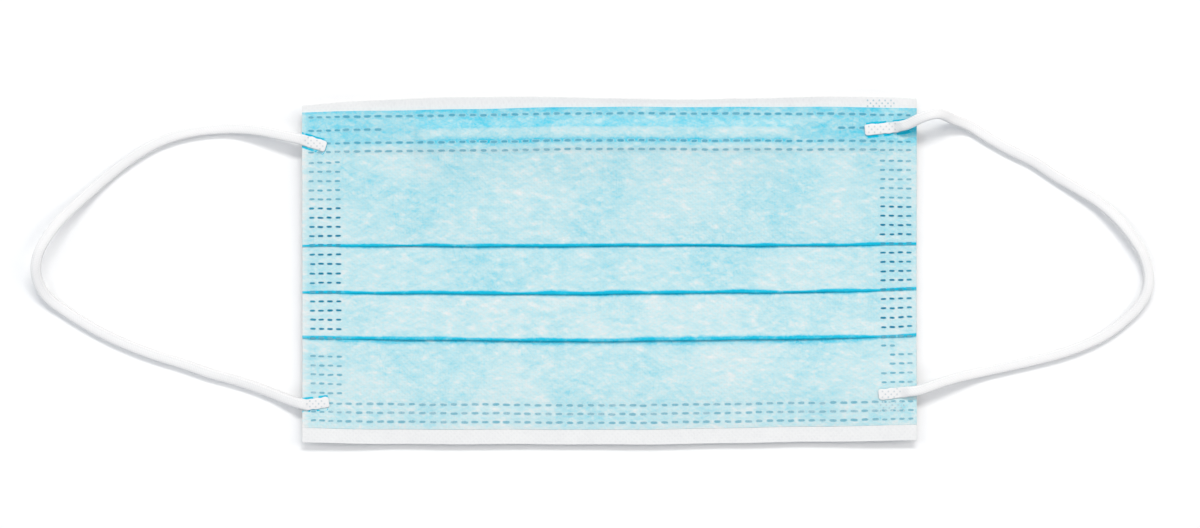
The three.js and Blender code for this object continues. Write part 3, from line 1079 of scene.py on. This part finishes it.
def front_height(x, y):
    """The height of the outer ply's front face at any place on the mask."""
    seen_y, seen_z = OUTER_LINE.y[OUTER_LINE.seen], OUTER_LINE.z[OUTER_LINE.seen]
    order = np.argsort(seen_y)
    flat_y = y - (laid_y(x, y) - y)
    flat_z = np.interp(flat_y, seen_y[order], seen_z[order] + PLY_OFFSET + PLY / 2)
    return laid(x, flat_y, flat_z)[..., 2]


def make_ear_loop(name, route, twist_seed):
    """A loop's object, its middle line and its length."""
    path, run = spline(route, RING_STEP)
    total = run[-1]
    tab_lengths = [math.dist(route[0], route[1]), math.dist(route[-1], route[-2])]
    from_tab = np.minimum(run - tab_lengths[0], total - run - tab_lengths[1])
    cord = smooth(from_tab, *TAB_BLEND)
    over_mask = np.abs(path[:, 0]) < HALF_WIDTH + 0.5
    half_thick = TAB_THICKNESS / 2 + (CORD_THICKNESS - TAB_THICKNESS) / 2 * cord
    drop = FLOOR_AXIS - CORD_THICKNESS / 2 - CORD_FLOOR_GAP
    path[:, 2] -= drop * smooth(path[:, 2], LOW_CORD, FLOOR_AXIS)
    resting = front_height(path[:, 0], path[:, 1]) + half_thick + REST_GAP
    path[:, 2] = np.where(over_mask, resting + (path[:, 2] - resting).clip(0.0) * cord, path[:, 2])
    path[:, 2] = softened(path[:, 2], int(SETTLE_LENGTH / RING_STEP))
    from_end = np.minimum(run, total - run)
    before_round = 1.0 - np.clip(from_end / TAB_END_ROUND, 0.0, 1.0)
    rounded = np.sqrt(np.clip(1.0 - before_round ** 2, 0.02, 1.0))
    half_wide = TAB_WIDTH / 2 + (CORD_WIDTH - TAB_WIDTH) / 2 * cord
    half_wide = half_wide * (1.0 - TAB_END_NARROW + TAB_END_NARROW * rounded)
    tangents = np.gradient(path, axis=0)
    tangents /= np.linalg.norm(tangents, axis=1)[:, None]
    side = np.cross((0.0, 0.0, 1.0), tangents)
    side /= np.linalg.norm(side, axis=1)[:, None]
    up = np.cross(tangents, side)
    twist = cord * TWIST * ripple(run, 0.0 * run, twist_seed, TWIST_LENGTH)
    wide = side * np.cos(twist)[:, None] + up * np.sin(twist)[:, None]
    thick = up * np.cos(twist)[:, None] - side * np.sin(twist)[:, None]
    angles = np.arange(RING_POINTS) * math.tau / RING_POINTS
    across = np.sign(np.cos(angles)) * np.abs(np.cos(angles)) ** BAND_SQUARE
    rise = np.sign(np.sin(angles)) * np.abs(np.sin(angles)) ** BAND_SQUARE
    uneven = ripple(run[:, None], 5.0 * np.sign(across)[None, :], twist_seed + 10, 2.4)
    lane = across[None, :] * (half_wide[:, None] + TAB_RAGGED * (1.0 - cord)[:, None] * uneven)
    stitch = knit(lane, run[:, None]) * cord[:, None]
    reach = 1.0 + STITCH_HEIGHT * (stitch - 0.5) / half_thick[:, None]
    points = (path[:, None, :] + wide[:, None, :] * lane[..., None]
              + thick[:, None, :] * (rise[None, :] * half_thick[:, None] * reach)[..., None])
    points[..., 2] = np.maximum(points[..., 2], FLOOR_CLEAR)
    return loop_object(name, points, run, angles, cord, stitch), path, total


def softened(values, width):
    """A running mean that keeps both ends."""
    padded = np.pad(values, width, mode="edge")
    kernel = np.ones(2 * width + 1) / (2 * width + 1)
    return np.convolve(padded, kernel, mode="valid")


def knit(lane, run):
    """Height of the elastic's knitted face, from 0 to 1: chains of slanting stitches."""
    place = lane / WALE_WIDTH
    beside = np.abs(place - np.round(place)) * 2.0
    ridge = np.cos(beside * math.pi / 2) ** 0.7
    phase = run / STITCH_PITCH + beside * 0.35 + 0.5 * (np.round(place) % 2)
    return ridge * (0.62 + 0.38 * np.cos(phase * math.tau))


def loop_object(name, points, run, angles, cord, stitch):
    rings, around = points.shape[:2]
    ids = np.arange(rings * around).reshape(rings, around)
    faces = []
    for i in range(rings - 1):
        for j in range(around):
            k = (j + 1) % around
            faces.append((int(ids[i, j]), int(ids[i, k]), int(ids[i + 1, k]), int(ids[i + 1, j])))
    faces.append(tuple(int(v) for v in ids[0, ::-1]))
    faces.append(tuple(int(v) for v in ids[-1]))
    mesh = bpy.data.meshes.new(name)
    mesh.from_pydata((points.reshape(-1, 3) * MM).tolist(), [], faces)
    mesh.polygons.foreach_set("use_smooth", np.ones(len(mesh.polygons), bool))
    u = np.broadcast_to((angles / math.tau * CORD_WIDTH * 2.4)[None, :], (rings, around)).ravel()
    v = np.broadcast_to(run[:, None], (rings, around)).ravel()
    add_cloth_map(mesh, u, v)
    add_point_values(mesh, "pressed", np.broadcast_to(1.0 - cord[:, None], (rings, around)))
    add_point_values(mesh, "stitch", stitch)
    return new_object(name, mesh, ELASTIC)


LOOPS = (
    ("ear_loop_left", LEFT_ROUTE, 21),
    ("ear_loop_right", RIGHT_ROUTE, 22),
)


def make_loops():
    made = []
    for node, route, seed in LOOPS:
        loop, path, total = make_ear_loop(node + "_elastic", route, seed)
        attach(loop, "root")
        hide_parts(node)
        made.append(loop)
    return made


loops = make_loops()
outer_ply = make_outer_ply()
inner_ply = make_inner_ply()


# Weld films: a small flat shape set on whatever each point's ray meets
def film_tree():
    tree = bpy.data.node_groups.new("weld_films", "GeometryNodeTree")
    sockets = {}
    for label, kind in (
        ("Geometry", "Geometry"), ("Surface", "Object"), ("Ray", "Vector"), ("Length", "Float"),
        ("Width", "Float"), ("Corner", "Float"), ("Thickness", "Float"), ("Proud", "Float"),
        ("Film", "Material"),
    ):
        sockets[label] = tree.interface.new_socket(
            label, in_out="INPUT", socket_type="NodeSocket" + kind)
    tree.interface.new_socket("Geometry", in_out="OUTPUT", socket_type="NodeSocketGeometry")
    root = Value(tree)

    def named(kind, name):
        return root.node("GeometryNodeInputNamedAttribute", {"data_type": kind}, {"Name": name})

    def stored(kind, geometry, name, value):
        return root.node("GeometryNodeStoreNamedAttribute", {"data_type": kind, "domain": "POINT"}, {
            "Geometry": geometry, "Name": name, "Value": value})

    given = root.node("NodeGroupInput")
    outline = root.node("GeometryNodeCurvePrimitiveQuadrilateral", {"mode": "RECTANGLE"}, {
        "Width": given.also("Length"), "Height": given.also("Width")})
    rounded = root.node("GeometryNodeFilletCurve", {"mode": "POLY"}, {
        "Curve": outline, "Count": 2, "Radius": given.also("Corner"), "Limit Radius": True})
    base = root.node("GeometryNodeFillCurve", {"mode": "NGONS"}, {"Curve": rounded})
    raised = root.node("GeometryNodeExtrudeMesh", {"mode": "FACES"}, {
        "Mesh": base, "Offset Scale": given.also("Thickness")})
    under = root.node("GeometryNodeFlipFaces", None, {"Mesh": base})
    both = root.node("GeometryNodeJoinGeometry", None, {"Geometry": raised})
    tree.links.new(under.socket, both.socket.node.inputs[0])
    closed = root.node("GeometryNodeMergeByDistance", None, {"Geometry": both, "Distance": 1e-6})
    within = root.node("GeometryNodeInputPosition").scaled(2.0 / MM)
    film = stored("FLOAT_VECTOR", closed, "spot", within)
    target = root.node("GeometryNodeObjectInfo", {"transform_space": "ORIGINAL"}, {
        "Object": given.also("Surface")}, out=4)
    start = root.node("GeometryNodeInputPosition")
    hit = root.node("GeometryNodeRaycast", None, {
        "Target Geometry": target, "Source Position": start,
        "Ray Direction": given.also("Ray"), "Ray Length": 0.1})
    normal = hit.also("Hit Normal")
    place = hit.also("Hit Position").plus(normal.scaled(given.also("Proud")))
    landed = root.node("GeometryNodeSeparateGeometry", {"domain": "POINT"}, {
        "Geometry": given.also("Geometry"), "Selection": hit.also("Is Hit")})
    stand = root.node("FunctionNodeAxesToRotation", {
        "primary_axis": "Z", "secondary_axis": "X"}, {
        "Primary Axis": normal, "Secondary Axis": named("FLOAT_VECTOR", "along")})
    turned_up = stored("QUATERNION", landed, "stand", stand)
    set_down = root.node("GeometryNodeSetPosition", None, {
        "Geometry": turned_up, "Position": place})
    spread = root.node("GeometryNodeInstanceOnPoints", None, {
        "Points": set_down, "Instance": film,
        "Rotation": named("QUATERNION", "stand"), "Scale": named("FLOAT_VECTOR", "size")})
    real = root.node("GeometryNodeRealizeInstances", None, {"Geometry": spread})
    painted = root.node("GeometryNodeSetMaterial", None, {
        "Geometry": real, "Material": given.also("Film")})
    root.node("NodeGroupOutput", None, {"Geometry": painted})
    return tree, {label: socket.identifier for label, socket in sockets.items()}


FILM_TREE, FILM_SOCKETS = film_tree()
FILM_TURN = 0.03


def set_films(name, points, sizes, layers, ground, surface, ray, shape):
    """A mesh of weld films, one where the ray from each point meets the surface."""
    mesh = bpy.data.meshes.new(name)
    mesh.from_pydata((np.asarray(points) * MM).tolist(), [], [])
    add_point_values(mesh, "layers", layers)
    add_point_values(mesh, "ground", np.broadcast_to(ground, len(points)))
    turns = np.random.default_rng(len(points)).normal(0.0, FILM_TURN, len(points))
    directions = np.stack((np.cos(turns), np.sin(turns), 0.0 * turns), axis=1)
    for label, values in (("size", sizes), ("along", directions)):
        layer = mesh.attributes.new(label, "FLOAT_VECTOR", "POINT")
        layer.data.foreach_set("vector", np.asarray(values, np.float32).ravel())
    source = bpy.data.objects.new(name, mesh)
    bpy.context.collection.objects.link(source)
    modifier = source.modifiers.new("weld_films", "NODES")
    modifier.node_group = FILM_TREE
    values = {"Surface": surface, "Ray": ray, "Film": WELD_FILM}
    values.update({label: value * MM for label, value in shape.items()})
    for label, value in values.items():
        modifier[FILM_SOCKETS[label]] = value
    graph = bpy.context.evaluated_depsgraph_get()
    made = bpy.data.meshes.new_from_object(source.evaluated_get(graph))
    source.modifiers.clear()
    made.materials.clear()
    made.materials.append(WELD_FILM)
    made.polygons.foreach_set("material_index", np.zeros(len(made.polygons), np.int32))
    source.data = made
    return source


DASH_SHAPE = {"Length": 1.0, "Width": 1.0, "Corner": 0.24, "Thickness": 0.05, "Proud": 0.015}
DOWN = (0.0, 0.0, -1.0)
UP = (0.0, 0.0, 1.0)
ABOVE = 20.0
ON_FOLD = 0.7
FOLD_FADE = 0.7
HEM_FROM = 36.0
BACK_LAYERS = 0.05


def make_dashes():
    flat_x = np.array([dash.x for dash in DASHES])
    flat_y = np.array([dash.y for dash in DASHES])
    x, y = laid_x(flat_x, flat_y), laid_y(flat_x, flat_y)
    sizes = np.array([(dash.length, dash.width, 1.0) for dash in DASHES])
    layers = np.array([dash.layers for dash in DASHES])
    apart = tab_distance(x, y) > TAB_WIDTH / 2
    points = np.stack((x, y, np.full(len(x), ABOVE)), axis=1)
    from_fold = np.min([np.abs(flat_y - EDGES[pleat.name].y) for pleat in PLEATS], axis=0)
    on_fold = from_fold < ON_FOLD
    layers = np.where(on_fold, layers * FOLD_FADE, layers)
    # Dashes on a fold stand on its deep blue, which is partly painted crease shade
    ground = np.where(on_fold, FOLD_BLUE, PLAIN_BLUE + HEM_BLUE * (y > HEM_FROM))
    front = set_films("weld_dashes_front", points[apart], sizes[apart], layers[apart], ground[apart],
                      outer_ply, DOWN, DASH_SHAPE)
    points[:, 2] = -ABOVE
    faint = np.full(len(points), BACK_LAYERS)
    back = set_films("weld_dashes_back", points, sizes, faint, 0.0, inner_ply, UP, DASH_SHAPE)
    return front, back


DOT_SHAPE = {"Length": 1.0, "Width": 1.0, "Corner": 0.5, "Thickness": 0.05, "Proud": 0.02}
DOT_SIZE = 0.6
DOT_PITCH = 1.66
DOT_ROW = 0.81
DOT_FROM_END = 0.45
DOT_FROM_CORD = 0.2
DOT_FROM_SIDE = 0.3
STRAY_LAYERS = 0.12


def dot_rows(low, high):
    """Staggered rows of dots that fill a box."""
    found = []
    for row, y in enumerate(np.arange(low[1], high[1], DOT_ROW)):
        shift = DOT_PITCH / 2 if row % 2 else 0.0
        found += [(x, y) for x in np.arange(low[0] + shift, high[0], DOT_PITCH)]
    return np.array(found)


def tab_dots(tab):
    """The dots of a tab's embossed weld, in rows along the mask and not along the tab."""
    along = tab.outer - tab.inner
    length = np.linalg.norm(along)
    along = along / length
    low = np.minimum(tab.inner, tab.outer) - TAB_WIDTH
    high = np.maximum(tab.inner, tab.outer) + TAB_WIDTH
    dots = dot_rows(low, high)
    reach = (dots - tab.inner) @ along
    off = (dots - tab.inner) @ np.array((-along[1], along[0]))
    inside = (reach > DOT_FROM_END) & (reach < length - DOT_FROM_CORD)
    return dots[inside & (np.abs(off) < TAB_WIDTH / 2 - DOT_FROM_SIDE)]


def set_dots(name, plan, layers, ground, surface):
    """Weld dots on a surface, below each place of a plan."""
    points = np.column_stack((plan, np.full(len(plan), ABOVE)))
    sizes = np.full((len(plan), 3), DOT_SIZE)
    sizes[:, 2] = 1.0
    return set_films(name, points, sizes, layers, ground, surface, DOWN, DOT_SHAPE)


def make_tab_dots():
    made = []
    for loop, tabs in ((loops[0], TABS[:2]), (loops[1], TABS[2:])):
        plan = np.vstack([tab_dots(tab) for tab in tabs])
        layers = 0.04 * ripple(plan[:, 0], plan[:, 1], 31, 3.0)
        made.append(set_dots(loop.name.replace("elastic", "weld_dots"), plan, layers, 0.0, loop))
    return made


STRAY_PATCHES = (
    # low corner, high corner, ply
    ((73.5, 46.75), (81.2, 48.5), "inner"),
    ((77.2, -40.0), (84.0, -36.8), "outer"),
)


def make_stray_dots():
    made = []
    for low, high, ply in STRAY_PATCHES:
        plan = dot_rows(low, high)
        layers = np.full(len(plan), STRAY_LAYERS)
        surface = inner_ply if ply == "inner" else outer_ply
        ground = 0.0 if ply == "inner" else PLAIN_BLUE
        made.append(set_dots("stray_weld_dots_" + ply, plan, layers, ground, surface))
    return made


front_dashes, back_dashes = make_dashes()
tab_weld_dots = make_tab_dots()
stray_dots = make_stray_dots()

# The plies' flat sizes; each piece is attached to the root, the plies' solids are hidden and the wire
# gets its coating
outer_flat = (MASK_WIDTH * MM, OUTER_LINE.run[-1] * MM)
inner_flat = (MASK_WIDTH * MM, INNER_LINE.run[-1] * MM)
for piece in (outer_ply, inner_ply, front_dashes, back_dashes, *tab_weld_dots, *stray_dots):
    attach(piece, "root")
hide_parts("outer_ply")
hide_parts("inner_ply")
wire_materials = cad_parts["nose_wire"].data.materials
wire_materials.clear()
wire_materials.append(WIRE_COATING)

# A white floor under soft light that comes mostly from above the mask's top edge
FLOOR_WHITE = (0.93, 0.93, 0.93, 1.0)
FLOOR_REACH = 3.0


def make_floor():
    material, root = new_material("floor")
    shader = root.node("ShaderNodeBsdfDiffuse", None, {"Color": FLOOR_WHITE})
    root.node("ShaderNodeOutputMaterial", None, {"Surface": shader})
    mesh = bpy.data.meshes.new("floor")
    reach = FLOOR_REACH
    corners = ((-reach, -reach, 0.0), (reach, -reach, 0.0), (reach, reach, 0.0), (-reach, reach, 0.0))
    mesh.from_pydata(corners, [], [(0, 1, 2, 3)])
    new_object("floor", mesh, material)


PLAIN_LAMP = (1.0, 0.985, 0.955)
WARM_LAMP = (1.0, 0.93, 0.84)
LAMPS = (
    # name, place, width, height, power, colour
    ("softbox_top", (0.2, 1.85, 2.36), 1.9, 0.5, 50.0, PLAIN_LAMP),
    ("softbox_front", (0.0, -1.9, 1.9), 2.0, 1.0, 12.0, PLAIN_LAMP),
    ("softbox_left", (-1.9, 0.5, 1.9), 1.0, 1.6, 17.0, PLAIN_LAMP),
    ("softbox_right", (1.9, 0.4, 1.9), 1.0, 1.6, 19.0, WARM_LAMP),
)
WORLD_COLOUR = (0.88, 0.98, 1.14, 1.0)
WORLD_STRENGTH = 0.315


def make_light(name, place, width, height, power, colour):
    data = bpy.data.lights.new(name, "AREA")
    data.shape = "RECTANGLE"
    data.size = width
    data.size_y = height
    data.energy = power
    data.color = colour
    light = bpy.data.objects.new(name, data)
    light.location = place
    light.rotation_euler = (-Vector(place)).to_track_quat("-Z", "Y").to_euler()
    bpy.context.collection.objects.link(light)


def make_world():
    world = bpy.data.worlds.new("studio")
    world.use_nodes = True
    background = world.node_tree.nodes["Background"]
    background.inputs["Color"].default_value = WORLD_COLOUR
    background.inputs["Strength"].default_value = WORLD_STRENGTH
    bpy.context.scene.world = world


make_floor()
for lamp in LAMPS:
    make_light(*lamp)
make_world()
bpy.context.scene.view_settings.view_transform = "Standard"
